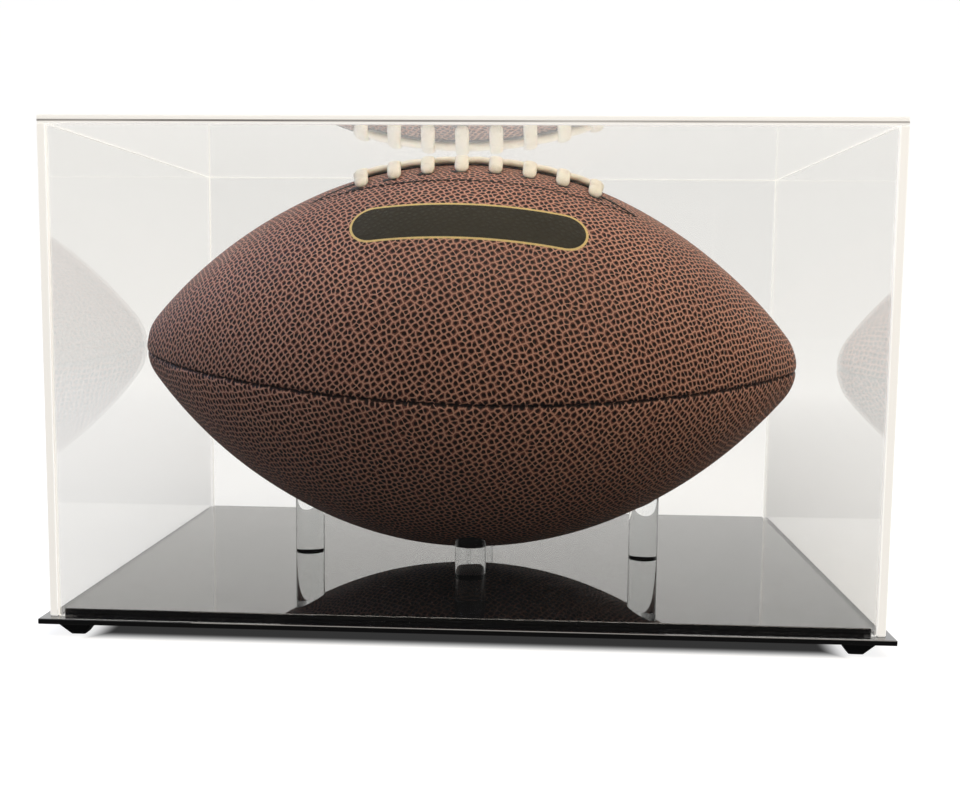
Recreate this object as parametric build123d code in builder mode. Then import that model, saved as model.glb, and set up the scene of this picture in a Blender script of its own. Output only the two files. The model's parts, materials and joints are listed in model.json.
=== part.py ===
from build123d import *
import math
import os

# Football display case: a black acrylic base on rubber feet, clear rod risers, a clear
# five-panel cover that lifts off, and the laced football that the risers carry.
# Millimetres. The origin is on the table under the middle of the case, +X to the right,
# +Y to the back, +Z up.

# Feet: square bumpers that taper downwards
foot_height = 5.0
foot_top_side = 12.7
foot_bottom_side = 5.4
foot_corner_radius = 0.8
foot_x = 140.0
foot_y = 94.4

# Base: a deck plate glued on top of a larger base plate
plate_thickness = 2.0
base_width = 304.8
base_depth = 205.0
edge_polish = 0.25

# Cover: four walls with a top panel over them, standing on the base plate round the deck
panel_thickness = 3.0
cover_width = 299.0
cover_depth = 197.4
cover_height = 178.9
cover_slack = 1.1

# Risers: clear rods, each cut on a slant under the ball
riser_radius = 6.35
riser_x = 74.0
riser_y = 38.0
riser_slope = 27.0
riser_stock = 40.0
ball_gap = 0.5

# Ball: a solid of revolution whose outline is a middle arc, a flatter shoulder arc and a nose
ball_length = 282.8
ball_radius = 82.3
mid_arc_radius = 156.8
mid_arc_reach = 66.6
nose_radius = 22.0
leather_thickness = 2.8
bladder_thickness = 0.9
ball_x = -4.0
ball_centre_height = 97.2
ball_tilt = 1.35
ball_roll = 9.0
panel_arc = 90.0

# Laces: one long strip in a shallow groove along the top seam, crossed by short bars
strip_width = 6.4
strip_sunk = 0.9
strip_proud = 2.6
strip_rounding = 0.8
cross_count = 8
cross_pitch = 14.1
cross_middle = 2.7
cross_width = 5.6
cross_half_length = 15.5
cross_proud = 3.7
cross_end_height = -0.4
cross_root = -3.0
cross_rounding = 0.8
strip_overrun = 1.5

# Valve in the back upper panel
valve_radius = 2.6
valve_sunk = 0.2
valve_root = 0.3
needle_radius = 0.6
needle_depth = 2.0

# Levels, from the table up
base_level = foot_height
deck_level = base_level + plate_thickness
deck_top = deck_level + plate_thickness
cover_level = deck_level
wall_height = cover_height - panel_thickness
deck_width = cover_width - 2 * (panel_thickness + cover_slack)
deck_depth = cover_depth - 2 * (panel_thickness + cover_slack)

# The ball's frame: x along its axis, the right tip a little lower, z up through its top
tilt = math.radians(ball_tilt)
ball_frame = Plane(
    origin=(ball_x, 0, ball_centre_height),
    x_dir=(math.cos(tilt), 0, -math.sin(tilt)),
    z_dir=(math.sin(tilt), 0, math.cos(tilt)),
)

# The ball's pieces are made about the origin, x along the axis, y out through the laced seam
# and z to the front, and then put in their place
seam_turn = 90.0 + ball_roll
ball_place = ball_frame.location * Rot(X=seam_turn)

# The outline's arcs: where the middle arc ends, and the shoulder arc tangent to it and the nose
mid_angle = math.asin(mid_arc_reach / mid_arc_radius)
mid_centre = ball_radius - mid_arc_radius
mid_end_height = mid_centre + mid_arc_radius * math.cos(mid_angle)
nose_x = ball_length / 2 - nose_radius
reach_to_nose = mid_arc_reach - nose_x
lean = reach_to_nose * math.sin(mid_angle) + mid_end_height * math.cos(mid_angle)
shoulder_radius = (reach_to_nose**2 + mid_end_height**2 - nose_radius**2) / (2 * (lean - nose_radius))
shoulder_x = mid_arc_reach - shoulder_radius * math.sin(mid_angle)
shoulder_drop = mid_end_height - shoulder_radius * math.cos(mid_angle)
nose_angle = math.atan2(nose_x - shoulder_x, -shoulder_drop)

os.makedirs("parts", exist_ok=True)


def save(part, name):
    part.label = name
    export_step(part, f"parts/{name}.step")


def make_slab(width, depth, height, centre, level):
    """A rectangular sheet of acrylic standing on `level`, its middle at `centre`."""
    with BuildPart() as slab:
        with BuildSketch(Plane.XY.offset(level)):
            with Locations(centre):
                Rectangle(width, depth)
        extrude(amount=height)
    return slab.part


def make_foot(x, y):
    with BuildPart() as foot:
        with BuildSketch(Plane.XY):
            with Locations((x, y)):
                RectangleRounded(foot_bottom_side, foot_bottom_side, foot_corner_radius)
        with BuildSketch(Plane.XY.offset(foot_height)):
            with Locations((x, y)):
                RectangleRounded(foot_top_side, foot_top_side, foot_corner_radius)
        loft()
    return foot.part


def make_plate(width, depth, level):
    """A black sheet with lightly broken edges all round."""
    with BuildPart() as plate:
        with BuildSketch(Plane.XY.offset(level)):
            Rectangle(width, depth)
        extrude(amount=plate_thickness)
        chamfer(plate.edges(), length=edge_polish)
    return plate.part


def make_riser(x, y, cut_centre, cut_radius):
    """A rod on the deck, cut by the plane that faces the ball at `cut_radius` from `cut_centre`."""
    outward = Vector(x, y, 0).normalized()
    slope = math.radians(riser_slope)
    facing = outward * math.sin(slope) - Vector(0, 0, math.cos(slope))
    cut = Plane(origin=cut_centre + facing * cut_radius, z_dir=facing)
    with BuildPart() as riser:
        with BuildSketch(Plane.XY.offset(deck_top)):
            with Locations((x, y)):
                Circle(riser_radius)
        extrude(amount=riser_stock)
        split(bisect_by=cut, keep=Keep.TOP)
    return riser.part


def make_ball_section(outer_depth, inner_depth=None):
    """Half of the ball's section, above its axis: solid, or open below `inner_depth`."""
    with BuildSketch(Plane.XY) as section:
        for depth, mode in ((outer_depth, Mode.ADD), (inner_depth, Mode.SUBTRACT)):
            if depth is None:
                continue
            with BuildLine():
                middle = JernArc(
                    start=(0, ball_radius - depth),
                    tangent=(1, 0),
                    radius=mid_arc_radius - depth,
                    arc_size=-math.degrees(mid_angle),
                )
                shoulder = JernArc(
                    start=middle @ 1,
                    tangent=middle % 1,
                    radius=shoulder_radius - depth,
                    arc_size=-math.degrees(nose_angle - mid_angle),
                )
                JernArc(
                    start=shoulder @ 1,
                    tangent=shoulder % 1,
                    radius=nose_radius - depth,
                    arc_size=math.degrees(nose_angle) - 90,
                )
                mirror(about=Plane.YZ)
                Line((depth - ball_length / 2, 0), (ball_length / 2 - depth, 0))
            make_face(mode=mode)
    return section.sketch


def make_lace_strip():
    """The long lace, a band along the middle arc of the laced seam."""
    inner = mid_arc_radius - strip_sunk
    outer = mid_arc_radius + strip_proud
    with BuildPart() as strip:
        with BuildSketch(Plane.XY):
            with BuildLine():
                top = CenterArc((0, mid_centre), outer, 90 - strip_end, strip_end - strip_start)
                bottom = CenterArc((0, mid_centre), inner, 90 - strip_end, strip_end - strip_start)
                Line(top @ 0, bottom @ 0)
                Line(top @ 1, bottom @ 1)
            make_face()
        extrude(amount=strip_width / 2, both=True)
        top_edges = strip.edges().filter_by(GeomType.CIRCLE).sort_by(SortBy.RADIUS)[-2:]
        fillet(top_edges, radius=strip_rounding)
    return strip.part


def make_cross_lace(angle):
    """A bar across the strip, `angle` degrees along the middle arc, lying on the leather."""
    along = math.radians(angle)
    seat = (mid_arc_radius * math.sin(along), mid_centre + mid_arc_radius * math.cos(along), 0)
    travel = (math.cos(along), -math.sin(along), 0)
    left = (-cross_half_length, cross_end_height)
    right = (cross_half_length, cross_end_height)
    with BuildPart() as cross:
        with BuildSketch(Plane(origin=seat, x_dir=(0, 0, -1), z_dir=travel)):
            with BuildLine():
                ThreePointArc(left, (0, cross_proud), right)
                Polyline(
                    right, (cross_half_length, cross_root), (-cross_half_length, cross_root), left
                )
            make_face()
        extrude(amount=cross_width / 2, both=True)
        fillet(cross.edges().filter_by(GeomType.CIRCLE), radius=cross_rounding)
        add(ball_core.part, mode=Mode.SUBTRACT)
        add(lace_strip, mode=Mode.SUBTRACT)
    return cross.part


def make_ball_panel(first_seam, laced=False, valved=False):
    """A quarter of the leather shell, from `first_seam` degrees past the laced seam."""
    section = make_ball_section(0, leather_thickness)
    with BuildPart() as quarter:
        revolve(section, axis=Axis.X, revolution_arc=panel_arc)
    with BuildPart() as panel:
        add(Rot(X=first_seam) * quarter.part)
        if laced:
            add(lace_strip, mode=Mode.SUBTRACT)
        if valved:
            with BuildSketch(valve_plane):
                Circle(valve_radius)
            extrude(amount=-(leather_thickness + valve_root), mode=Mode.SUBTRACT)
    return panel.part


# Feet
for foot_side, foot_sign_x in (("left", -1), ("right", 1)):
    for foot_end, foot_sign_y in (("front", -1), ("back", 1)):
        foot_part = make_foot(foot_sign_x * foot_x, foot_sign_y * foot_y)
        save(foot_part, f"foot_{foot_end}_{foot_side}")

# Base plate and deck plate
save(make_plate(base_width, base_depth, base_level), "base_plate")
save(make_plate(deck_width, deck_depth, deck_level), "deck_plate")

# Side risers face the shoulder arcs of the ball's underside, the other two its middle
for riser_side, riser_sign in (("left", -1), ("right", 1)):
    shoulder_centre = ball_frame.from_local_coords((riser_sign * shoulder_x, 0, -shoulder_drop))
    side_riser = make_riser(
        riser_sign * riser_x, 0, shoulder_centre, shoulder_radius + ball_gap
    )
    save(side_riser, f"riser_{riser_side}")

for riser_end, riser_sign in (("front", -1), ("back", 1)):
    end_riser = make_riser(0, riser_sign * riser_y, ball_frame.origin, ball_radius + ball_gap)
    save(end_riser, f"riser_{riser_end}")

# Cover
wall_x = (cover_width - panel_thickness) / 2
wall_y = (cover_depth - panel_thickness) / 2
inner_width = cover_width - 2 * panel_thickness
save(make_slab(inner_width, panel_thickness, wall_height, (0, -wall_y), cover_level), "cover_front")
save(make_slab(inner_width, panel_thickness, wall_height, (0, wall_y), cover_level), "cover_back")
save(make_slab(panel_thickness, cover_depth, wall_height, (-wall_x, 0), cover_level), "cover_left")
save(make_slab(panel_thickness, cover_depth, wall_height, (wall_x, 0), cover_level), "cover_right")
top_level = cover_level + wall_height
save(make_slab(cover_width, cover_depth, panel_thickness, (0, 0), top_level), "cover_top")

# The ball as one solid, which the laces are trimmed to
core_section = make_ball_section(0)
with BuildPart() as ball_core:
    revolve(core_section, axis=Axis.X)

# Laces, placed by their angle along the middle arc
pitch_angle = math.degrees(cross_pitch / mid_arc_radius)
middle_angle = math.degrees(cross_middle / mid_arc_radius)
overrun_angle = math.degrees((cross_width / 2 + strip_overrun) / mid_arc_radius)
cross_angles = [
    middle_angle + pitch_angle * (index - (cross_count - 1) / 2) for index in range(cross_count)
]
strip_start = cross_angles[0] - overrun_angle
strip_end = cross_angles[-1] + overrun_angle
lace_strip = make_lace_strip()
save(ball_place * lace_strip, "lace_strip")
for cross_index, cross_angle in enumerate(cross_angles):
    save(ball_place * make_cross_lace(cross_angle), f"lace_cross_{cross_index + 1}")

# Bladder, just inside the leather
bladder_section = make_ball_section(leather_thickness, leather_thickness + bladder_thickness)
with BuildPart() as ball_bladder:
    revolve(bladder_section, axis=Axis.X)
save(ball_place * ball_bladder.part, "ball_bladder")

# Valve, in the middle of the back upper panel, seated on the bladder
valve_turn = math.radians(-panel_arc / 2)
valve_out = Vector(0, math.cos(valve_turn), math.sin(valve_turn))
valve_plane = Plane(origin=valve_out * ball_radius, x_dir=(1, 0, 0), z_dir=valve_out)
with BuildPart() as ball_valve:
    with BuildSketch(valve_plane.offset(-valve_sunk)):
        Circle(valve_radius)
    extrude(amount=valve_sunk - leather_thickness - valve_root)
    with BuildSketch(valve_plane.offset(-valve_sunk)):
        Circle(needle_radius)
    extrude(amount=-needle_depth, mode=Mode.SUBTRACT)
    add(ball_bladder.part, mode=Mode.SUBTRACT)
save(ball_place * ball_valve.part, "ball_valve")

# Leather panels between the four seams
top_front = make_ball_panel(0, laced=True)
bottom_front = make_ball_panel(panel_arc)
bottom_back = make_ball_panel(2 * panel_arc)
top_back = make_ball_panel(3 * panel_arc, laced=True, valved=True)
save(ball_place * top_front, "ball_panel_top_front")
save(ball_place * bottom_front, "ball_panel_bottom_front")
save(ball_place * bottom_back, "ball_panel_bottom_back")
save(ball_place * top_back, "ball_panel_top_back")
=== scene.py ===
import bmesh
import bpy
import json
import math
import numpy as np
from mathutils import Matrix, Vector


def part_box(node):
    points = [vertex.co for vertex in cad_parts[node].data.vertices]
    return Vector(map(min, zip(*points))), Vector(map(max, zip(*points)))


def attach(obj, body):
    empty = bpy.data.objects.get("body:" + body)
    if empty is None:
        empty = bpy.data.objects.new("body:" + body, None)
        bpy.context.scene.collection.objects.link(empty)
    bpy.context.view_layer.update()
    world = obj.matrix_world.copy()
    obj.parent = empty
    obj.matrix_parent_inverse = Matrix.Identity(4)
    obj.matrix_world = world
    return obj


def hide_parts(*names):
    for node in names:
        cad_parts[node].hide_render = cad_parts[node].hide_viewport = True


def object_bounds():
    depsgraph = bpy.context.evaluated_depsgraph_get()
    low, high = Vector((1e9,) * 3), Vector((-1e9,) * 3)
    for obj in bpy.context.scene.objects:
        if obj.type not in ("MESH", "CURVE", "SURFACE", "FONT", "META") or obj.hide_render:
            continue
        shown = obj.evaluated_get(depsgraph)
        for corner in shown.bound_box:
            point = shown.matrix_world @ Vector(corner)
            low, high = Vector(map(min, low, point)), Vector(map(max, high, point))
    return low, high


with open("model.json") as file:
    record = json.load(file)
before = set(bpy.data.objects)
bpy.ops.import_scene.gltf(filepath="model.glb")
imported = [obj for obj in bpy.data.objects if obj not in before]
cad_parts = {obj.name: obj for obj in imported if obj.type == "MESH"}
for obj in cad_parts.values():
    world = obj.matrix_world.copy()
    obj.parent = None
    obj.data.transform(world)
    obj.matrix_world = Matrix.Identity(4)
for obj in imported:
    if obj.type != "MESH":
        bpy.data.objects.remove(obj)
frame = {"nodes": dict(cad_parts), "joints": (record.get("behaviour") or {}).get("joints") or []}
cad_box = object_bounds()
nodes = frame["nodes"]
MM = 0.001

# ---------------------------------------------------------------- sizes

# The football's outline: a middle arc, a shoulder arc and a nose
ball_length = 282.8 * MM
ball_radius = 82.3 * MM
mid_radius = 156.8 * MM
mid_reach = 66.6 * MM
nose_radius = 22.0 * MM
leather_thickness = 2.8 * MM
ball_roll = math.radians(9.0)
seam_twist = 0.16

# The seams between the leather panels
seam_depth = 0.8 * MM
seam_width = 0.75 * MM
seam_gap = 0.10 * MM
seam_line_core, seam_line_end = 0.3 * MM, 0.9 * MM
stitch_pitch = 4.9 * MM

# The leather's grain
pebble_pitch = 2.30 * MM
pebble_height = 0.30 * MM
pebble_scatter = 0.56
grain_slant = 0.55
grain_warp_scale, grain_warp = 260.0, 1.1 * MM
grain_step = 143 * stitch_pitch

# The plain bar printed on the front panel
emblem_centre = (2.0 * MM, -9.5 * MM)
emblem_reach = 37.0 * MM
emblem_radius = 8.6 * MM
emblem_border = 1.0 * MM
print_blur = 0.1 * MM

# Laces, with places along the ball in millimetres from its middle
cross_count, cross_pitch, cross_middle = 8, 14.1, 2.7
cross_half_length = 17.6 * MM
cross_half_width, cross_half_height = 2.85 * MM, 1.45 * MM
cross_top = 4.1 * MM
crest_shift = 0.12
strip_overhang = 3.4
strip_lift, strip_dip = 1.50 * MM, 0.25 * MM
strip_half_width, strip_half_height = 2.9 * MM, 1.65 * MM

# The stitched patch round the laces, in millimetres along and across the skin
patch_left, patch_right = -66.0, 70.0
patch_tip_arc, patch_middle_arc = 18.5, 28.0
fold_start_arc = 13.0
patch_stitch, thread_radius, thread_sink = 3.0 * MM, 0.42 * MM, 0.45 * MM

# The clear sheets
joint_gap = 0.02 * MM
edge_break = 0.3 * MM
edge_line_height = cad_box[1][2] - 1.9 * MM
# Painted glow: strength of the emission on the cut edges, standing in for light piped through the
# sheets
painted_edge_glow = 0.60

# Floor and room
room_dark, room_bright, room_top = 0.04, 1.0, 0.70
near_start, near_end, near_share = -0.104, 0.9, 0.04
shade_reach, shade_depth, shade_edge = 0.133, 0.099, 0.005
floor_glow = 0.88

# ---------------------------------------------------------------- camera and studio

camera_place = (0.0253, -0.4802, 0.1283)
camera_yaw, camera_pitch, camera_roll = 2.861, -5.611, 0.586
camera_lens = 41.2

camera_data = bpy.data.cameras.new("camera")
camera_data.lens = camera_lens
camera_data.sensor_width = 36.0
camera_data.clip_start = 0.01
camera = bpy.data.objects.new("camera", camera_data)
bpy.context.scene.collection.objects.link(camera)
turn = Matrix.Rotation(math.radians(camera_yaw), 4, "Z")
pitch = Matrix.Rotation(math.radians(90 + camera_pitch), 4, "X")
roll = Matrix.Rotation(math.radians(camera_roll), 4, "Z")
camera.matrix_world = Matrix.Translation(camera_place) @ turn @ pitch @ roll
bpy.context.scene.camera = camera
bpy.context.scene.view_settings.view_transform = "Standard"


def new_object(name, verts, faces, smooth=True):
    """A mesh object at the origin from lists of points and faces."""
    mesh = bpy.data.meshes.new(name)
    mesh.from_pydata([tuple(v) for v in verts], [], [tuple(f) for f in faces])
    mesh.update()
    mesh.polygons.foreach_set("use_smooth", [smooth] * len(mesh.polygons))
    obj = bpy.data.objects.new(name, mesh)
    bpy.context.scene.collection.objects.link(obj)
    return obj


def area_light(name, place, target, size, power, colour):
    """A rectangular lamp at a place, aimed at a target, with its power in watts."""
    data = bpy.data.lights.new(name, "AREA")
    data.shape = "RECTANGLE"
    data.size, data.size_y = size
    data.energy = power
    data.color = colour
    light = bpy.data.objects.new(name, data)
    bpy.context.scene.collection.objects.link(light)
    light.location = place
    aim = Vector(target) - Vector(place)
    light.rotation_euler = aim.to_track_quat("-Z", "Y").to_euler()


# ---------------------------------------------------------------- materials


class Nodes:
    """A material's node tree, with short ways to add nodes and join them."""

    def __init__(self, name):
        self.material = bpy.data.materials.new(name)
        self.material.use_nodes = True
        self.tree = self.material.node_tree
        self.tree.nodes.clear()
        self.output = self.add("ShaderNodeOutputMaterial")

    def add(self, kind, **settings):
        node = self.tree.nodes.new(kind)
        for key, value in settings.items():
            setattr(node, key, value)
        return node

    def put(self, socket, value):
        """Joins a socket to another one, or sets it to a constant."""
        if isinstance(value, bpy.types.NodeSocket):
            self.tree.links.new(value, socket)
        else:
            socket.default_value = value

    def math(self, operation, a, b=0.0, c=0.0, clamp=False):
        node = self.add("ShaderNodeMath", operation=operation, use_clamp=clamp)
        for socket, value in zip(node.inputs, (a, b, c)):
            self.put(socket, value)
        return node.outputs[0]

    def ramp(self, value, low, high, start=0.0, end=1.0, smooth=True):
        """Maps low..high to start..end, easing in and out."""
        node = self.add("ShaderNodeMapRange")
        node.interpolation_type = "SMOOTHSTEP" if smooth else "LINEAR"
        for socket, given in zip(node.inputs, (value, low, high, start, end)):
            self.put(socket, given)
        return node.outputs["Result"]

    def mix(self, factor, a, b):
        node = self.add("ShaderNodeMix", data_type="RGBA")
        self.put(node.inputs[0], factor)
        self.put(node.inputs[6], a)
        self.put(node.inputs[7], b)
        return node.outputs[2]

    def noise(self, vector, scale, detail=3.0, roughness=0.5):
        node = self.add("ShaderNodeTexNoise")
        self.put(node.inputs["Vector"], vector)
        self.put(node.inputs["Scale"], scale)
        self.put(node.inputs["Detail"], detail)
        self.put(node.inputs["Roughness"], roughness)
        return node.outputs["Fac"]

    def place(self):
        return self.add("ShaderNodeTexCoord").outputs["Object"]

    def stretch(self, vector, scale):
        node = self.add("ShaderNodeMapping")
        self.put(node.inputs["Vector"], vector)
        self.put(node.inputs["Scale"], scale)
        return node.outputs[0]

    def bump(self, height, distance, strength=1.0, normal=None):
        node = self.add("ShaderNodeBump")
        self.put(node.inputs["Height"], height)
        self.put(node.inputs["Distance"], distance)
        self.put(node.inputs["Strength"], strength)
        if normal is not None:
            self.put(node.inputs["Normal"], normal)
        return node.outputs[0]

    def principled(self, **values):
        node = self.add("ShaderNodeBsdfPrincipled")
        for key, value in values.items():
            self.put(node.inputs[key.replace("_", " ")], value)
        return node.outputs[0]

    def finish(self, shader):
        self.put(self.output.inputs["Surface"], shader)
        return self.material


def clear_acrylic(name, tint, smear_roughness, grazing_shade=None):
    """Clear acrylic that lets lamps through, with faint smears; the last argument darkens its tint
    at grazing angles, a painted shade along a rod's rims.
    """
    n = Nodes(name)
    smear = n.noise(n.stretch(n.place(), (9, 9, 30)), 1.0, 4.0)
    roughness = n.ramp(smear, 0.35, 0.8, 0.0, smear_roughness)
    # Painted shade: the tint turns dark towards grazing angles
    if grazing_shade is not None:
        facing = n.add("ShaderNodeLayerWeight").outputs["Facing"]
        tint = n.mix(n.ramp(facing, 0.62, 0.93), tint, grazing_shade)
    glass = n.principled(
        Base_Color=tint,
        Roughness=roughness,
        IOR=1.49,
        Transmission_Weight=1.0,
    )
    clear = n.add("ShaderNodeBsdfTransparent")
    n.put(clear.inputs["Color"], (0.96, 0.97, 0.97, 1))
    path = n.add("ShaderNodeLightPath")
    blend = n.add("ShaderNodeMixShader")
    n.put(blend.inputs[0], path.outputs["Is Shadow Ray"])
    n.put(blend.inputs[1], glass)
    n.put(blend.inputs[2], clear.outputs[0])
    return n.finish(blend.outputs[0])


def cut_edge():
    """The satin cut edge of a clear sheet, with a painted glow: emission stands in for the light
    that the sheet pipes to it.

    A broken dark line runs round the top sheet's edge.
    """
    n = Nodes("acrylic_cut_edge")
    at = n.place()
    saw = n.noise(n.stretch(at, (900, 900, 60)), 1.0, 3.0)
    tone = n.noise(at, 18.0, 3.0)
    apart = n.add("ShaderNodeSeparateXYZ")
    n.put(apart.inputs[0], at)
    from_line = n.math("ABSOLUTE", n.math("SUBTRACT", apart.outputs[2], edge_line_height))
    line = n.ramp(from_line, 0.0002, 0.0005, 0.85, 0.0)
    line = n.math("MULTIPLY", line, n.ramp(n.noise(at, 9.0, 2.0), 0.25, 0.6, 0.45, 1.0))
    pale = n.mix(tone, (0.70, 0.68, 0.63, 1), (0.84, 0.82, 0.76, 1))
    shader = n.principled(
        Base_Color=n.mix(line, pale, (0.16, 0.14, 0.15, 1)),
        Roughness=n.ramp(saw, 0.3, 0.7, 0.25, 0.45),
        IOR=1.49,
        # Painted glow: emission on the cut edge, left off along the dark line
        Emission_Color=(1.0, 0.985, 0.95, 1),
        Emission_Strength=n.math("MULTIPLY", painted_edge_glow, n.math("SUBTRACT", 1.0, line)),
        Normal=n.bump(saw, 0.00005, 0.4),
    )
    return n.finish(shader)


def black_acrylic():
    """Polished black sheet: a mirror with fine dust and wiping marks."""
    n = Nodes("black_acrylic")
    at = n.place()
    dust = n.noise(at, 2600.0, 2.0)
    specks = n.ramp(dust, 0.73, 0.80)
    wiped = n.noise(n.stretch(at, (6, 40, 40)), 1.0, 5.0, 0.6)
    colour = n.mix(specks, (0.0045, 0.0045, 0.005, 1), (0.10, 0.10, 0.10, 1))
    shader = n.principled(
        Base_Color=colour,
        Roughness=n.ramp(wiped, 0.3, 0.8, 0.012, 0.05),
        IOR=1.49,
        Coat_Weight=1.0,
        Coat_Roughness=0.02,
        Normal=n.bump(n.noise(at, 14.0, 2.0), 0.00006, 0.5),
    )
    return n.finish(shader)


def foot_rubber():
    n = Nodes("foot_rubber")
    at = n.place()
    grain = n.noise(at, 1500.0, 4.0)
    colour = n.mix(grain, (0.006, 0.006, 0.007, 1), (0.018, 0.018, 0.019, 1))
    shader = n.principled(
        Base_Color=colour,
        Roughness=n.ramp(grain, 0.3, 0.7, 0.42, 0.6),
        Normal=n.bump(grain, 0.00012, 0.5),
    )
    return n.finish(shader)


def lace_vinyl():
    """Cream vinyl lace with a fine woven tooth and a little grime in random patches."""
    n = Nodes("lace_vinyl")
    at = n.place()
    tooth = n.noise(at, 1900.0, 3.0)
    grime = n.noise(at, 160.0, 3.0)
    colour = n.mix(n.ramp(grime, 0.45, 0.8), (0.86, 0.80, 0.66, 1), (0.68, 0.59, 0.45, 1))
    shader = n.principled(
        Base_Color=colour,
        Roughness=0.52,
        Subsurface_Weight=0.15,
        Subsurface_Scale=0.001,
        Normal=n.bump(tooth, 0.00014, 0.5),
    )
    return n.finish(shader)


def black_thread_and_shade():
    # Black thread, also used for the dark pieces of painted shade
    n = Nodes("black_thread_and_shade")
    twist = n.noise(n.place(), 2400.0, 2.0)
    shader = n.principled(
        Base_Color=n.mix(twist, (0.004, 0.004, 0.005, 1), (0.02, 0.019, 0.02, 1)),
        Roughness=n.ramp(twist, 0.3, 0.7, 0.4, 0.6),
        Normal=n.bump(twist, 0.0001, 0.6),
    )
    return n.finish(shader)


def dark_rubber(name):
    n = Nodes(name)
    grain = n.noise(n.place(), 900.0, 4.0)
    shader = n.principled(
        Base_Color=n.mix(grain, (0.010, 0.009, 0.008, 1), (0.03, 0.026, 0.022, 1)),
        Roughness=n.ramp(grain, 0.3, 0.7, 0.5, 0.7),
        Normal=n.bump(grain, 0.0001, 0.5),
    )
    return n.finish(shader)


def leather(name, emblem):
    """Pebbled leather: dark pebbles over a tan net, with a painted highlight along the net lines and
    painted shade beside the pebbles, and a plain gold-edged bar if `emblem`.

    It reads two attributes of the mesh: "flat", the skin laid out flat in metres, and "seam", the
    distance from the nearest seam.
    """
    n = Nodes(name)
    flat = n.add("ShaderNodeAttribute", attribute_name="flat").outputs["Vector"]
    seam = n.add("ShaderNodeAttribute", attribute_name="seam").outputs["Fac"]
    warp = n.add("ShaderNodeTexNoise")
    n.put(warp.inputs["Vector"], flat)
    n.put(warp.inputs["Scale"], grain_warp_scale)
    n.put(warp.inputs["Detail"], 1.0)
    shift = n.add("ShaderNodeVectorMath", operation="MULTIPLY_ADD")
    n.put(shift.inputs[0], warp.outputs["Color"])
    n.put(shift.inputs[1], (grain_warp, grain_warp, 0.0))
    n.put(shift.inputs[2], flat)
    slant = n.add("ShaderNodeMapping")
    n.put(slant.inputs["Vector"], shift.outputs[0])
    n.put(slant.inputs["Rotation"], (0.0, 0.0, grain_slant))

    edge = n.add("ShaderNodeTexVoronoi", voronoi_dimensions="2D", feature="DISTANCE_TO_EDGE")
    cell = n.add("ShaderNodeTexVoronoi", voronoi_dimensions="2D", feature="F1")
    for pattern in (edge, cell):
        n.put(pattern.inputs["Vector"], slant.outputs[0])
        n.put(pattern.inputs["Scale"], 1 / pebble_pitch)
        n.put(pattern.inputs["Randomness"], pebble_scatter)
    from_edge = edge.outputs["Distance"]
    from_middle = cell.outputs["Distance"]
    pebble = n.math(
        "MULTIPLY", n.ramp(from_middle, 0.27, 0.38, 1.0, 0.0), n.ramp(from_edge, 0.03, 0.11)
    )
    # Painted highlight and shade: the net is lighter along its lines and darker beside the pebbles
    net_highlight_mask = n.ramp(from_edge, 0.015, 0.21, 1.0, 0.0)
    dome = n.ramp(from_edge, 0.02, 0.36)

    tone = n.noise(flat, 22.0, 3.0)
    fine = n.noise(flat, 2600.0, 3.0)
    # The net's tan in a highlighted tone and a shaded tone, both painted light
    net_highlight_colour = n.mix(tone, (0.56, 0.300, 0.215, 1), (0.82, 0.450, 0.322, 1))
    net_shade_colour = n.mix(tone, (0.135, 0.052, 0.039, 1), (0.20, 0.079, 0.058, 1))
    net_colour_and_light = n.mix(net_highlight_mask, net_shade_colour, net_highlight_colour)
    pebble_colour = n.mix(tone, (0.007, 0.003, 0.003, 1), (0.013, 0.005, 0.005, 1))
    own_shade = n.add("ShaderNodeSeparateColor")
    n.put(own_shade.inputs[0], cell.outputs["Color"])
    pebble_colour = n.mix(
        n.math("MULTIPLY", own_shade.outputs[0], 0.45), pebble_colour, (0.016, 0.007, 0.006, 1)
    )
    colour = n.mix(pebble, net_colour_and_light, pebble_colour)
    colour = n.mix(n.math("MULTIPLY", fine, 0.16), colour, (0.05, 0.02, 0.014, 1))
    flat_parts = n.add("ShaderNodeSeparateXYZ")
    n.put(flat_parts.inputs[0], flat)
    phase = n.math("FRACT", n.math("DIVIDE", flat_parts.outputs[0], stitch_pitch))
    between = n.ramp(n.math("ABSOLUTE", n.math("SUBTRACT", phase, 0.5)), 0.05, 0.12)
    near_seam = n.ramp(seam, seam_line_core, seam_line_end, 0.92, 0.0)
    near_seam = n.math("MULTIPLY", near_seam, between)
    colour = n.mix(near_seam, colour, (0.008, 0.004, 0.004, 1))
    roughness = n.ramp(pebble, 0.0, 1.0, 0.60, 0.38)
    roughness = n.math("ADD", roughness, n.ramp(fine, 0.3, 0.7, -0.05, 0.07))

    if emblem:
        along = n.math("SUBTRACT", flat_parts.outputs[0], emblem_centre[0])
        across = n.math("SUBTRACT", flat_parts.outputs[1], emblem_centre[1])
        over = n.math("MAXIMUM", n.math("SUBTRACT", n.math("ABSOLUTE", along), emblem_reach), 0.0)
        away = n.math(
            "SQRT", n.math("ADD", n.math("MULTIPLY", over, over), n.math("MULTIPLY", across, across))
        )
        border = emblem_radius + emblem_border
        gold = n.ramp(away, border - print_blur, border + print_blur, 1.0, 0.0)
        ink = n.ramp(away, emblem_radius - print_blur, emblem_radius + print_blur, 1.0, 0.0)
        colour = n.mix(n.math("MULTIPLY", gold, 0.92), colour, (0.80, 0.62, 0.25, 1))
        colour = n.mix(n.math("MULTIPLY", ink, 0.96), colour, (0.004, 0.007, 0.009, 1))
        dome = n.math("MULTIPLY", dome, n.ramp(gold, 0.0, 1.0, 1.0, 0.35))

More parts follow.
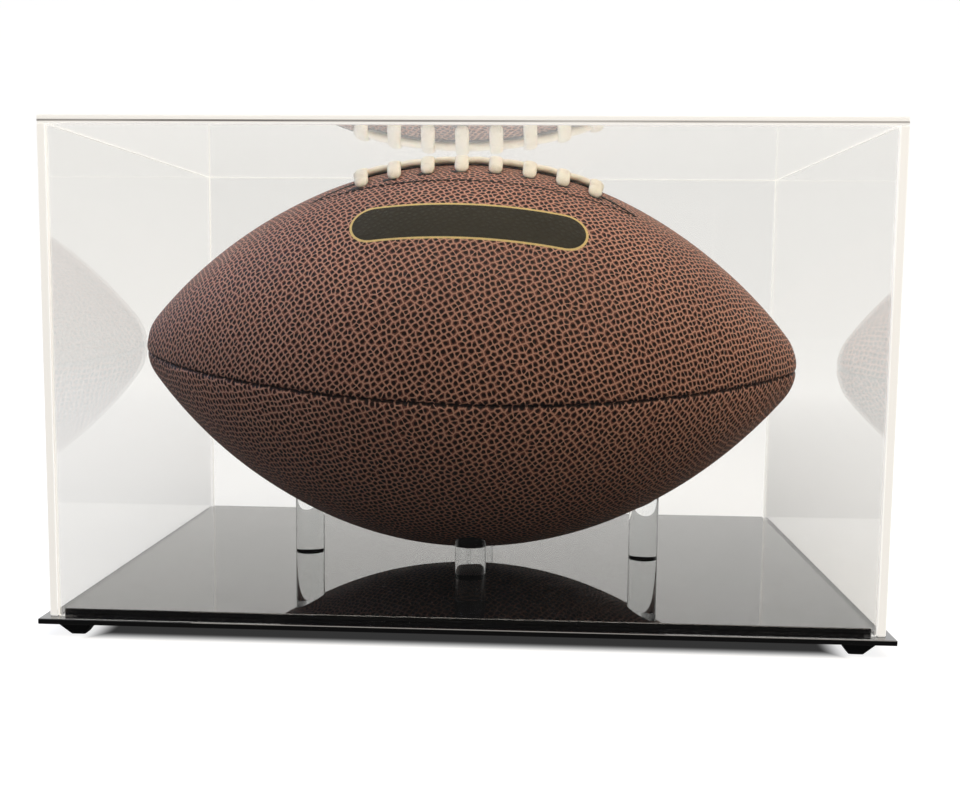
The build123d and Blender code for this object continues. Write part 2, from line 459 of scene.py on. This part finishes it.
    height = n.math("ADD", dome, n.math("MULTIPLY", fine, 0.10))
    shader = n.principled(
        Base_Color=colour,
        Roughness=roughness,
        IOR=1.45,
        Specular_IOR_Level=0.20,
        Normal=n.bump(height, pebble_height, 0.9),
    )
    return n.finish(shader)


# ---------------------------------------------------------------- the football's outline

mid_angle = math.asin(mid_reach / mid_radius)
mid_centre = ball_radius - mid_radius
mid_end = mid_centre + mid_radius * math.cos(mid_angle)
nose_x = ball_length / 2 - nose_radius
back_reach = mid_reach - nose_x
lean = back_reach * math.sin(mid_angle) + mid_end * math.cos(mid_angle)
shoulder_radius = (back_reach**2 + mid_end**2 - nose_radius**2) / (2 * (lean - nose_radius))
shoulder_x = mid_reach - shoulder_radius * math.sin(mid_angle)
shoulder_y = mid_end - shoulder_radius * math.cos(mid_angle)
nose_angle = math.atan2(nose_x - shoulder_x, -shoulder_y)
mid_length = mid_radius * mid_angle
shoulder_length = shoulder_radius * (nose_angle - mid_angle)
half_length = mid_length + shoulder_length + nose_radius * (math.pi / 2 - nose_angle)

ball_joint = next(j for j in frame["joints"] if j["name"] == "ball_turn")
ball_centre = np.array(ball_joint["pos_m"])
ball_axis = np.array(ball_joint["axis"])
ball_axis = ball_axis / np.linalg.norm(ball_axis)
ball_up = np.cross(ball_axis, (0.0, 1.0, 0.0))
lace_out = ball_up * math.cos(ball_roll) + np.array((0.0, -1.0, 0.0)) * math.sin(ball_roll)
front_out = np.cross(ball_axis, lace_out)


def outline(s):
    """At arc length s from the ball's middle: how far along the axis, radius, normal's lean."""
    t = np.abs(s)
    on_mid = t < mid_length
    on_shoulder = t < mid_length + shoulder_length
    past_shoulder = (t - mid_length - shoulder_length) / nose_radius
    angle = np.where(
        on_mid,
        t / mid_radius,
        np.where(
            on_shoulder, mid_angle + (t - mid_length) / shoulder_radius, nose_angle + past_shoulder
        ),
    )
    radius = np.where(on_mid, mid_radius, np.where(on_shoulder, shoulder_radius, nose_radius))
    centre_x = np.where(on_mid, 0.0, np.where(on_shoulder, shoulder_x, nose_x))
    centre_y = np.where(on_mid, mid_centre, np.where(on_shoulder, shoulder_y, 0.0))
    along = np.sign(s) * (centre_x + radius * np.sin(angle))
    return along, centre_y + radius * np.cos(angle), np.sign(s) * angle


def on_ball(s, turn, lift=0.0):
    """World points at arc length s and `turn` radians past the laced seam, lifted off the skin."""
    s, turn, lift = np.broadcast_arrays(
        np.asarray(s, float), np.asarray(turn, float), np.asarray(lift, float)
    )
    along, radius, angle = outline(s)
    turn = turn + seam_twist * np.clip(-s / half_length, 0, 1) ** 4
    along = along + lift * np.sin(angle)
    radius = radius + lift * np.cos(angle)
    out = np.cos(turn)[..., None] * lace_out + np.sin(turn)[..., None] * front_out
    return ball_centre + along[..., None] * ball_axis + radius[..., None] * out


def beside_seam(s, arc):
    """The turn that lies `arc` metres of skin in front of the laced seam."""
    return arc / outline(np.asarray(s, float))[1]


# ---------------------------------------------------------------- leather panels

columns = 240


def row_fractions():
    """Rows across a panel, crowded towards its two seams."""
    edge_steps = np.array([0.0, 0.0022, 0.005, 0.009, 0.014, 0.021, 0.03, 0.042, 0.06])
    middle = np.linspace(0.08, 0.5, 26)
    half = np.concatenate([edge_steps, middle])
    return np.concatenate([half, (1 - half[:-1])[::-1]])


def grid_faces(rows, cols, start=0, flip=False):
    faces = []
    for i in range(cols - 1):
        for j in range(rows - 1):
            a = start + i * rows + j
            face = (a, a + rows, a + rows + 1, a + 1)
            faces.append(face[::-1] if flip else face)
    return faces


def make_panel(name, quarter):
    """A quarter of the leather shell, closed, rolling down into the seams on both sides."""
    fractions = row_fractions()
    rows = len(fractions)
    tip = half_length - 0.25 * MM
    lean = np.linspace(-1, 1, columns)
    s = tip * (0.82 * lean + 0.18 * np.sin(lean * math.pi / 2) ** 3)
    grid_s, grid_f = np.meshgrid(s, fractions, indexing="ij")
    radius = outline(grid_s)[1]
    inset = np.minimum(seam_gap / radius, 0.25)
    turn = quarter * math.pi / 2 + inset + grid_f * (math.pi / 2 - 2 * inset)
    from_seam = np.minimum(grid_f, 1 - grid_f) * radius * math.pi / 2
    lift = -seam_depth * np.exp(-((from_seam / seam_width) ** 2))
    ripple = 0.10 * MM * np.sin(grid_s * 61 + quarter * 2.1) * np.sin(grid_f * 9.0 + quarter)
    lift = lift + ripple - 0.12 * MM
    outer = on_ball(grid_s, turn, lift)
    inner_rows = np.array([0, rows // 4, rows // 2, rows - 1 - rows // 4, rows - 1])
    inner = on_ball(
        grid_s[:, inner_rows], turn[:, inner_rows], -(leather_thickness - 0.05 * MM)
    )
    verts = np.concatenate([outer.reshape(-1, 3), inner.reshape(-1, 3)])
    base = outer.shape[0] * rows
    k = len(inner_rows)
    faces = grid_faces(rows, columns) + grid_faces(k, columns, base, flip=True)
    for i in range(columns - 1):
        a, b = i * rows, base + i * k
        faces.append((a, b, b + k, a + rows))
        a, b = i * rows + rows - 1, base + i * k + k - 1
        faces.append((a + rows, b + k, b, a))
    last_outer, last_inner = (columns - 1) * rows, base + (columns - 1) * k
    faces.append(list(range(rows)) + [base + j for j in reversed(range(k))])
    faces.append(
        [last_outer + j for j in reversed(range(rows))] + [last_inner + j for j in range(k)]
    )
    panel = new_object(name, verts, faces)
    flat_v = (turn - (quarter + 0.5) * math.pi / 2) * radius
    flat = np.stack([grid_s, flat_v, np.full_like(grid_s, 0.0)], axis=-1)
    flat = flat + np.array([grain_step * quarter, 0.0, 0.0])
    flat_all = np.concatenate([flat.reshape(-1, 3), flat[:, inner_rows].reshape(-1, 3)])
    seam_all = np.concatenate([from_seam.reshape(-1), from_seam[:, inner_rows].reshape(-1)])
    attribute = panel.data.attributes.new("flat", "FLOAT_VECTOR", "POINT")
    attribute.data.foreach_set("vector", flat_all.astype(np.float32).ravel())
    attribute = panel.data.attributes.new("seam", "FLOAT", "POINT")
    attribute.data.foreach_set("value", seam_all.astype(np.float32))
    return panel


plain_leather = leather("leather_plain", emblem=False)
printed_leather = leather("leather_printed", emblem=True)
panel_names = ("top_front", "bottom_front", "bottom_back", "top_back")
for quarter, panel_name in enumerate(panel_names):
    panel = make_panel(f"leather_{panel_name}", quarter)
    panel.data.materials.append(printed_leather if panel_name == "top_front" else plain_leather)
    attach(panel, "football")
    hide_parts(f"ball_panel_{panel_name}")


# ---------------------------------------------------------------- tubes and laces


def sweep(path, sides, ups, sections):
    """Sweeps a closed section, or one for each point, along a path with its side and up axes."""
    if np.ndim(sections) == 2:
        sections = [sections] * len(path)
    count = len(sections[0])
    verts = []
    for point, side, up, ring in zip(path, sides, ups, sections):
        for a, b in ring:
            verts.append(point + a * side + b * up)
    faces = []
    for k in range(len(path) - 1):
        for j in range(count):
            a, b = k * count + j, k * count + (j + 1) % count
            faces.append((a, b, b + count, a + count))
    faces.append(list(reversed(range(count))))
    last = (len(path) - 1) * count
    faces.append([last + j for j in range(count)])
    return verts, faces


def frames_along(path, out):
    """Side and up axes for a path, with `out` the outward direction at each point."""
    ahead = np.gradient(path, axis=0)
    ahead /= np.linalg.norm(ahead, axis=1)[:, None]
    side = np.cross(ahead, out)
    side /= np.linalg.norm(side, axis=1)[:, None]
    return side, np.cross(side, ahead)


def skin_frames(path, s, turn):
    """Side and up axes for a path on the ball, with the skin's own outward direction."""
    return frames_along(path, on_ball(s, turn, 1.0) - on_ball(s, turn, 0.0))


def joined(pieces):
    """Puts lists of verts and faces together as one mesh's lists."""
    verts, faces = [], []
    for piece_verts, piece_faces in pieces:
        start = len(verts)
        verts.extend(piece_verts)
        faces.extend([[start + i for i in face] for face in piece_faces])
    return verts, faces


def rounded_section(half_width, half_height, power=3.0, count=28):
    """A superellipse, between an oval and a box with round corners."""
    angle = np.linspace(0, 2 * math.pi, count, endpoint=False)
    c, s = np.cos(angle), np.sin(angle)
    return np.stack(
        [
            half_width * np.sign(c) * np.abs(c) ** (2 / power),
            half_height * np.sign(s) * np.abs(s) ** (2 / power),
        ],
        axis=1,
    )


lace_places = [
    cross_middle + cross_pitch * (k - (cross_count - 1) / 2) for k in range(cross_count)
]
lace_material = lace_vinyl()
thread_and_shade_material = black_thread_and_shade()


def cross_reach(place):
    """Half the length of a crossing: the ones on the left are sewn wider."""
    return cross_half_length + 0.07 * MM * max(0.0, -place)


def make_cross(index, place):
    """One crossing of the lace: out of its hole, over the strip and into the other hole."""
    u = np.sin(np.linspace(-1, 1, 61) * math.pi / 2)
    skew = 0.05 - 0.0018 * place
    reach = cross_reach(place)
    s0 = place * MM + skew * u * reach
    turn = beside_seam(s0, u * reach)
    slope = 1 - np.clip(np.abs(u - crest_shift), 0, 1) ** 2.0
    end = np.sqrt(np.clip(1 - np.clip((np.abs(u) - 0.84) / 0.16, 0, 1) ** 2, 0.003, 1))
    lift = (cross_top - cross_half_height) * slope - 0.9 * MM * (1 - end) + 0.1 * MM * (1 - slope)
    path = on_ball(s0, turn, lift)
    side, up = skin_frames(path, s0, turn)
    sections = [
        rounded_section(
            cross_half_width * (0.35 + 0.65 * round_end), cross_half_height * round_end, 2.4
        )
        for round_end in end
    ]
    verts, faces = sweep(path, side, up, np.array(sections))
    cross = new_object(f"lace_bar_{index}", verts, faces)
    cross.data.materials.append(lace_material)
    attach(cross, "football")
    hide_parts(f"lace_cross_{index}")


for index, place in enumerate(lace_places, 1):
    make_cross(index, place)

strip_start = (lace_places[0] - strip_overhang) * MM
strip_s = np.linspace(strip_start, (lace_places[-1] + strip_overhang) * MM, 121)
strip_phase = (strip_s / MM - cross_middle) / cross_pitch * 2 * math.pi
strip_path = on_ball(strip_s, 0.0, strip_lift + strip_dip * np.cos(strip_phase))
strip_side, strip_up = skin_frames(strip_path, strip_s, 0.0)
strip_section = rounded_section(strip_half_width, strip_half_height, 2.2)
verts, faces = sweep(strip_path, strip_side, strip_up, strip_section)
strip = new_object("lace_run", verts, faces)
strip.data.materials.append(lace_material)
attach(strip, "football")
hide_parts("lace_strip")


def tube(points, side, up, radii, sides=8):
    """A round thread through the points, with a radius at each."""
    angle = np.linspace(0, 2 * math.pi, sides, endpoint=False)
    ring = np.stack([np.cos(angle), np.sin(angle)], axis=1)
    sections = np.array([ring * r for r in radii])
    return sweep(points, side, up, sections)


def dark_piece(name, verts, faces):
    """A black thread, or a dark piece of painted shade, that moves with the ball."""
    piece = new_object(name, verts, faces)
    piece.data.materials.append(thread_and_shade_material)
    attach(piece, "football")


def stitched_line(name, s, arc, pitch, radius, sink):
    """A row of short thread stitches along a line on the skin."""
    length = np.concatenate([[0], np.cumsum(np.hypot(np.diff(s), np.diff(arc)))])
    count = int(length[-1] / pitch)
    pieces = []
    for k in range(count):
        at = np.linspace((k + 0.04) * pitch, (k + 0.96) * pitch, 7)
        stitch_s = np.interp(at, length, s)
        stitch_arc = np.interp(at, length, arc)
        turn = beside_seam(stitch_s, stitch_arc)
        arch = np.sin(np.linspace(0, math.pi, 7))
        points = on_ball(stitch_s, turn, (arch - 1.0) * sink)
        side, up = skin_frames(points, stitch_s, turn)
        pieces.append(tube(points, side, up, radius * (0.7 + 0.3 * arch)))
    dark_piece(name, *joined(pieces))


def lace_hole_shade():
    """Painted shade in the punched hole that each end of a crossing goes into: dark shallow ovals.
    """
    pieces = []
    for place in lace_places:
        for way in (-1, 1):
            along = np.linspace(-1, 1, 13)
            s = place * MM + np.zeros_like(along)
            arc = way * (cross_reach(place) - 0.5 * MM) + along * 1.5 * MM
            turn = beside_seam(s, arc)
            points = on_ball(s, turn, -0.12 * MM)
            side, up = skin_frames(points, s, turn)
            wide = np.sqrt(np.clip(1 - along**2, 0.01, 1))
            sections = [rounded_section(3.2 * MM * w, 0.30 * MM * w, 2.0, 20) for w in wide]
            pieces.append(sweep(points, side, up, np.array(sections)))
    dark_piece("lace_hole_shade", *joined(pieces))


def patch_fold_shade():
    """Dark strips of painted shade in the folds that run from the last crossings to the tips of the
    stitched patch.
    """
    pieces = []
    ends = ((lace_places[0] - 1.5, patch_left), (lace_places[-1] + 1.5, patch_right))
    for near_bar, tip in ends:
        for way in (-1, 1):
            t = np.linspace(0, 1, 25)
            s = (near_bar + (tip - near_bar) * t) * MM
            arc = way * (fold_start_arc + (patch_tip_arc - fold_start_arc) * t**1.2) * MM
            turn = beside_seam(s, arc)
            points = on_ball(s, turn, -0.05 * MM)
            side, up = skin_frames(points, s, turn)
            wide = (1.0 - 0.72 * t) * MM
            sections = [rounded_section(w, 0.30 * MM, 2.0, 12) for w in wide]
            pieces.append(sweep(points, side, up, np.array(sections)))
    dark_piece("patch_fold_shade", *joined(pieces))


def lace_strip_shade():
    """A dark band under the strip: painted shade for the shadowed gap beneath it, showing as a line.
    """
    s = np.linspace(strip_s[0], strip_s[-1], 81)
    points = on_ball(s, 0.0)
    side, up = skin_frames(points, s, 0.0)
    section = rounded_section(3.7 * MM, 0.42 * MM, 3.0, 16)
    verts, faces = sweep(points, side, up, section)
    dark_piece("lace_strip_shade", verts, faces)


# Dark pieces of painted shade: in the lace holes, in the patch's folds and under the strip
lace_hole_shade()
patch_fold_shade()
lace_strip_shade()
for side_name, way in (("front", 1), ("back", -1)):
    s = np.linspace(patch_left, patch_right, 120)
    bow = 1 - ((s - (patch_left + patch_right) / 2) / ((patch_right - patch_left) / 2)) ** 2
    arc = way * (patch_tip_arc + (patch_middle_arc - patch_tip_arc) * bow)
    name = f"patch_stitching_{side_name}"
    stitched_line(name, s * MM, arc * MM, patch_stitch, thread_radius, thread_sink)


def valve_collar():
    """The valve's black rubber collar, dished in the middle, lying on the leather over the valve."""
    low, high = (np.array(corner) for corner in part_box("ball_valve"))
    offset = (low + high) / 2 - ball_centre
    along = float(np.dot(offset, ball_axis))
    out = offset - along * ball_axis
    out = out / np.linalg.norm(out)
    radius = mid_centre + math.sqrt(mid_radius**2 - along**2)
    seat = ball_centre + along * ball_axis + radius * out
    lean = math.asin(along / mid_radius)
    normal = math.sin(lean) * ball_axis + math.cos(lean) * out
    across = np.cross(normal, ball_axis)
    across = across / np.linalg.norm(across)
    forward = np.cross(across, normal)
    profile = ((0.0, 0.10), (0.8, 0.10), (1.0, 0.42), (1.6, 0.55), (3.0, 0.42), (3.8, -0.25))
    sides = 40
    verts = []
    for reach, rise in profile:
        for k in range(sides):
            angle = 2 * math.pi * k / sides
            spoke = math.cos(angle) * across + math.sin(angle) * forward
            verts.append(seat + MM * (max(reach, 0.02) * spoke + rise * normal))
    faces = []
    for k in range(len(profile) - 1):
        for j in range(sides):
            a, b = k * sides + j, k * sides + (j + 1) % sides
            faces.append((a, a + sides, b + sides, b))
    faces.append(list(range(sides)))
    faces.append([(len(profile) - 1) * sides + j for j in reversed(range(sides))])
    collar = new_object("valve_collar", verts, faces)
    collar.data.materials.append(dark_rubber("collar_rubber"))
    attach(collar, "football")


valve_collar()

# ---------------------------------------------------------------- carried-over CAD nodes


def give(names, material):
    for name in names:
        node = nodes[name]
        node.data.materials.clear()
        node.data.materials.append(material)


def make_sheet(node, thin_axis, clear, edge):
    """A clear sheet in a panel's place, with broken edges and, on the cut faces, the cut-edge
    material with its painted glow.
    """
    low, high = (Vector(corner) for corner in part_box(node))
    gap = Vector((joint_gap,) * 3)
    gap[thin_axis] = 0.0
    low, high = low + gap, high - gap
    bm = bmesh.new()
    bmesh.ops.create_cube(bm, size=1.0)
    bmesh.ops.scale(bm, vec=high - low, verts=bm.verts)
    bmesh.ops.translate(bm, vec=(low + high) / 2, verts=bm.verts)
    bmesh.ops.bevel(bm, geom=bm.edges[:], offset=edge_break, segments=2, affect="EDGES")
    for face in bm.faces:
        shows_sheet = abs(face.normal[thin_axis]) > 0.99 or face.normal.z < -0.5
        face.material_index = 0 if shows_sheet else 1
    mesh = bpy.data.meshes.new(f"sheet_{node}")
    bm.to_mesh(mesh)
    bm.free()
    sheet = bpy.data.objects.new(f"sheet_{node}", mesh)
    bpy.context.scene.collection.objects.link(sheet)
    mesh.materials.append(clear)
    mesh.materials.append(edge)
    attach(sheet, "cover")
    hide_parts(node)


cover_clear = clear_acrylic("cover_acrylic", (0.945, 0.938, 0.92, 1), 0.008)
cover_edge = cut_edge()
for cover_node, thin_axis in (
    ("cover_front", 1),
    ("cover_back", 1),
    ("cover_left", 0),
    ("cover_right", 0),
    ("cover_top", 2),
):
    make_sheet(cover_node, thin_axis, cover_clear, cover_edge)

give(("base_plate", "deck_plate"), black_acrylic())
give([n for n in nodes if n.startswith("foot_")], foot_rubber())
# The risers' tint darkens at grazing angles: a painted shade along their rims
give(
    [n for n in nodes if n.startswith("riser_")],
    clear_acrylic("riser_acrylic", (0.985, 0.995, 0.992, 1), 0.02, grazing_shade=(0.22, 0.23, 0.25, 1)),
)
give(("ball_bladder",), dark_rubber("bladder_rubber"))
give(("ball_valve",), dark_rubber("valve_rubber"))

# ---------------------------------------------------------------- floor and light

sweep_half_width, sweep_front, sweep_back, sweep_bend, sweep_height = 6.0, -4.0, 2.2, 1.5, 4.0
profile = [(sweep_front, 0.0), (sweep_back, 0.0)]
for step in range(1, 25):
    bend = step / 24 * math.pi / 2
    profile.append(
        (sweep_back + sweep_bend * math.sin(bend), sweep_bend * (1 - math.cos(bend)))
    )
profile.append((sweep_back + sweep_bend, sweep_height))
verts = [(x, y, z) for y, z in profile for x in (-sweep_half_width, sweep_half_width)]
faces = [(2 * k, 2 * k + 1, 2 * k + 3, 2 * k + 2) for k in range(len(profile) - 1)]
floor = new_object("floor", verts, faces)


def pale_floor():
    """A pale sweep, dim on the near side for mirrored and bounced light, as a black flag makes it.

    The part under the case is darkened by place, which stands in for a contact shadow.
    """
    n = Nodes("floor")
    at = n.place()
    apart = n.add("ShaderNodeSeparateXYZ")
    n.put(apart.inputs[0], at)
    far = n.ramp(apart.outputs[1], near_start, near_end, near_share, 1.0, smooth=False)
    path = n.add("ShaderNodeLightPath")
    turns = n.math("SUBTRACT", path.outputs["Ray Depth"], path.outputs["Transmission Depth"])
    mirrored = n.math("GREATER_THAN", turns, 0.5)
    straight = n.math("SUBTRACT", 1.0, mirrored)
    shown = n.math("MULTIPLY_ADD", far, mirrored, straight)
    beside = n.math("SUBTRACT", n.math("ABSOLUTE", apart.outputs[0]), shade_reach)
    before = n.math("SUBTRACT", n.math("ABSOLUTE", apart.outputs[1]), shade_depth)
    open_floor = n.ramp(n.math("MAXIMUM", beside, before), -shade_edge, shade_edge, 0.04, 1.0)
    shown = n.math("MULTIPLY", shown, open_floor)
    speckle = n.noise(at, 40.0, 3.0)
    colour = n.mix(speckle, (0.29, 0.29, 0.29, 1), (0.33, 0.33, 0.33, 1))
    shader = n.principled(
        Base_Color=n.mix(shown, (0.0, 0.0, 0.0, 1), colour),
        Roughness=0.8,
        Specular_IOR_Level=0.0,
        Emission_Color=(1, 1, 1, 1),
        Emission_Strength=n.math("MULTIPLY", shown, floor_glow),
    )
    return n.finish(shader)


floor.data.materials.append(pale_floor())

world = bpy.data.worlds.new("studio")
bpy.context.scene.world = world
world.use_nodes = True
tree = world.node_tree
background = tree.nodes["Background"]
background.inputs["Color"].default_value = (1.0, 1.0, 1.0, 1)
coordinates = tree.nodes.new("ShaderNodeTexCoord")
apart = tree.nodes.new("ShaderNodeSeparateXYZ")
tree.links.new(coordinates.outputs["Generated"], apart.inputs[0])


def world_ramp(source, low, high, start, end):
    node = tree.nodes.new("ShaderNodeMapRange")
    node.interpolation_type = "SMOOTHSTEP"
    tree.links.new(source, node.inputs[0])
    for socket, value in zip(node.inputs[1:5], (low, high, start, end)):
        socket.default_value = value
    return node.outputs[0]


def world_math(operation, a, b):
    node = tree.nodes.new("ShaderNodeMath")
    node.operation = operation
    for socket, value in zip(node.inputs, (a, b)):
        if isinstance(value, bpy.types.NodeSocket):
            tree.links.new(value, socket)
        else:
            socket.default_value = value
    return node.outputs[0]


behind = world_ramp(apart.outputs[1], -0.05, 0.45, room_dark, room_bright)
above = world_ramp(apart.outputs[2], 0.35, 0.95, 0.0, room_top)
brightest = world_math("MAXIMUM", behind, above)

# Seen directly or straight through the clear sheets, the room is plain white
path = tree.nodes.new("ShaderNodeLightPath")
bounces = world_math("SUBTRACT", path.outputs["Ray Depth"], path.outputs["Transmission Depth"])
through = world_math(
    "MULTIPLY", path.outputs["Is Transmission Ray"], world_math("LESS_THAN", bounces, 1.5)
)
seen = world_math("MAXIMUM", path.outputs["Is Camera Ray"], through)
shade = world_math("MULTIPLY", brightest, world_math("SUBTRACT", 1.0, seen))
tree.links.new(world_math("ADD", shade, seen), background.inputs["Strength"])

area_light("key", (0.15, -0.5, 1.1), (0, 0, 0.1), (1.2, 0.8), 7.5, (1.0, 0.93, 0.83))
area_light("window", (-1.0, 0.2, 0.8), (-0.05, 0, 0.1), (0.7, 0.9), 4.5, (0.46, 0.60, 1.0))
area_light("lamp", (0.8, -0.5, 0.8), (0.05, 0, 0.1), (0.5, 0.6), 2.6, (1.0, 0.74, 0.48))
